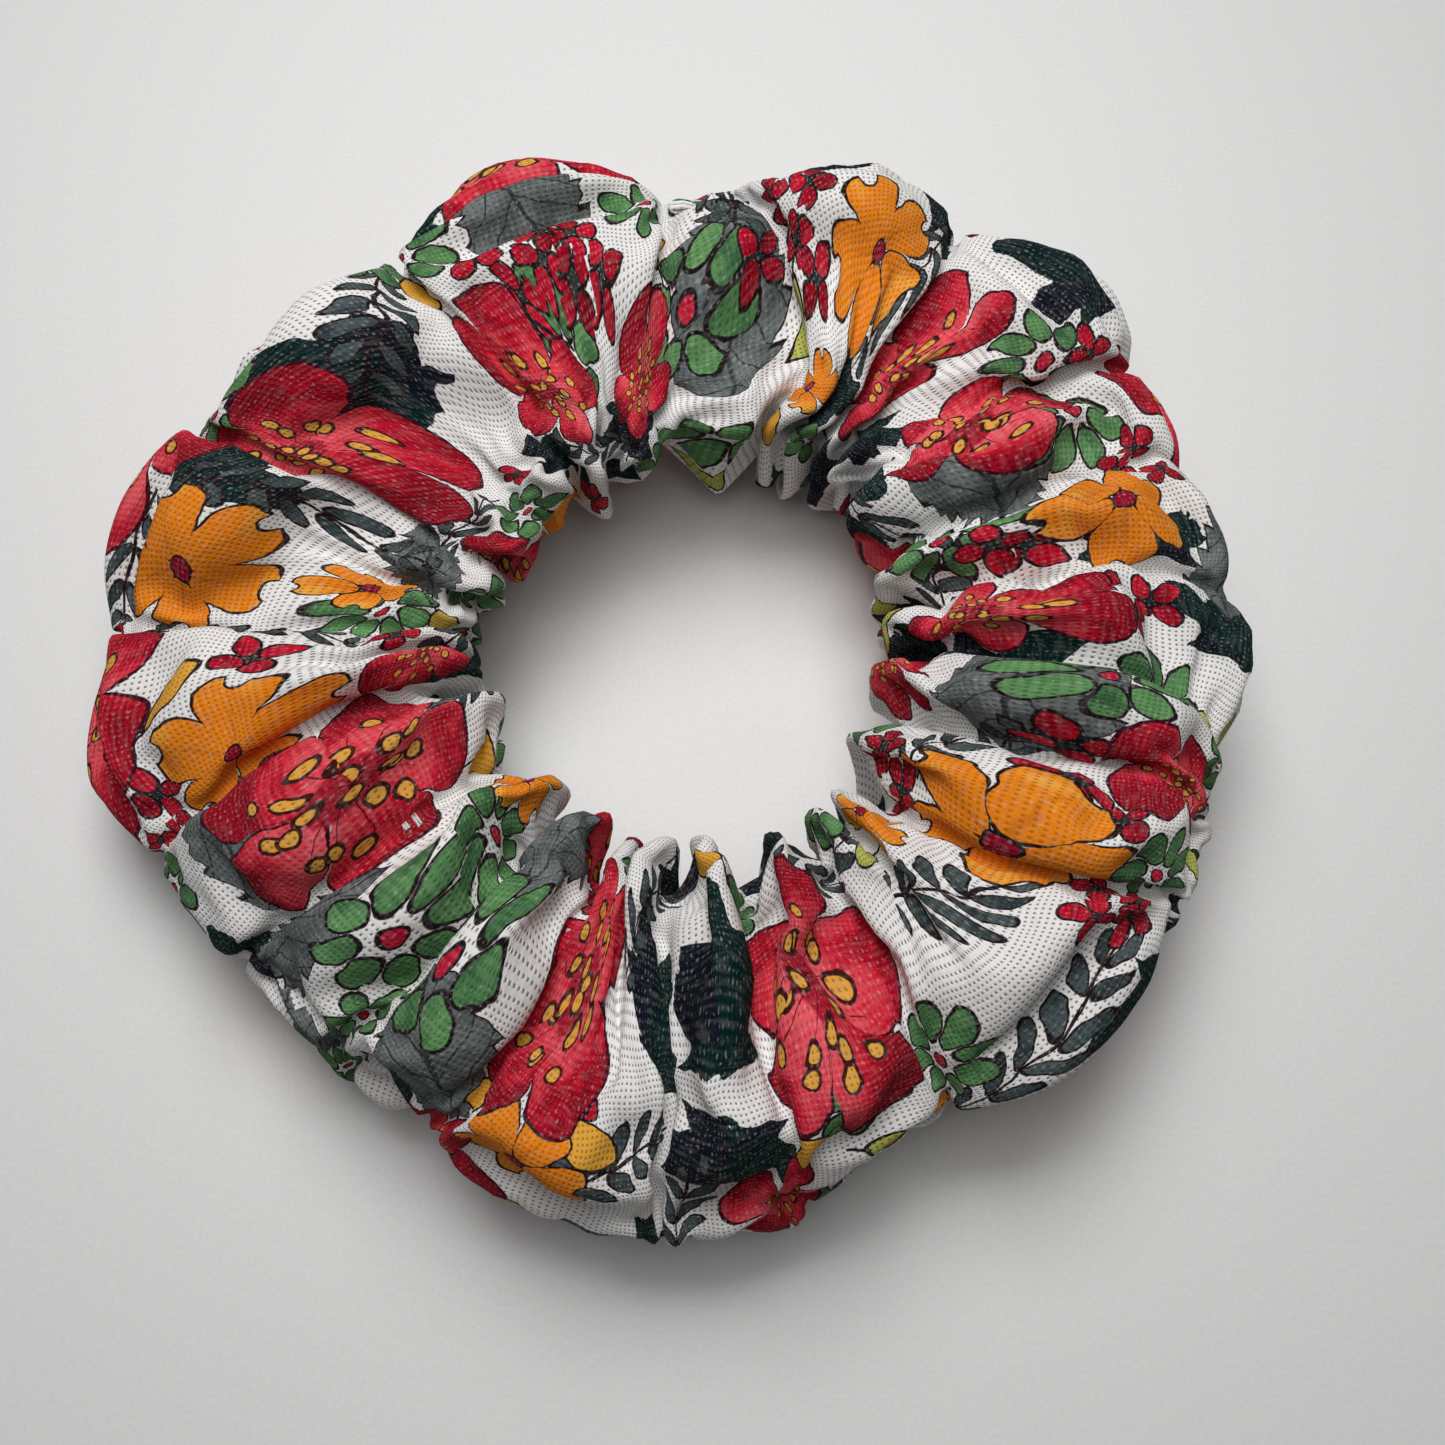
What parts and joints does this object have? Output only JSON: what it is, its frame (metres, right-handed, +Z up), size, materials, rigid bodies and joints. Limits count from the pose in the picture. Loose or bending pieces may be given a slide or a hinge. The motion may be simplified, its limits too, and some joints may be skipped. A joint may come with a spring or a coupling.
{
  "type": "scrunchie",
  "caption": "Hair tie: a gathered tube of floral printed cotton on a hidden loop of flat elastic, lying flat as a soft ring that stretches.",
  "frame": {"origin": "centre of the ring, on the plane that it lies on", "axes": "+Z up along the ring's axis; the ring is pulled open along +X"},
  "size_m": [0.103, 0.103, 0.026],
  "materials": {
    "printed_cotton": "matte plain-weave cotton, off-white with a printed floral pattern in red, orange, green and dark teal",
    "braided_elastic": "matte white flat braid",
    "sewing_thread": "matte off-white polyester thread"
  },
  "bodies": {
    "left_half": {"cover_left": "printed_cotton", "elastic_left": "braided_elastic", "long_seam_needle_thread_left": "sewing_thread", "long_seam_bobbin_thread_left": "sewing_thread", "closing_seam_needle_thread": "sewing_thread", "closing_seam_bobbin_thread": "sewing_thread", "elastic_join_needle_thread": "sewing_thread", "elastic_join_bobbin_thread": "sewing_thread"},
    "right_half": {"cover_right": "printed_cotton", "elastic_right": "braided_elastic", "long_seam_needle_thread_right": "sewing_thread", "long_seam_bobbin_thread_right": "sewing_thread"}
  },
  "joints": [
    {"name": "stretch", "type": "slide", "parent": "left_half", "child": "right_half", "axis": [1, 0, 0], "range_m": [0, 0.06], "stiffness_N_per_m": 120}
  ]
}
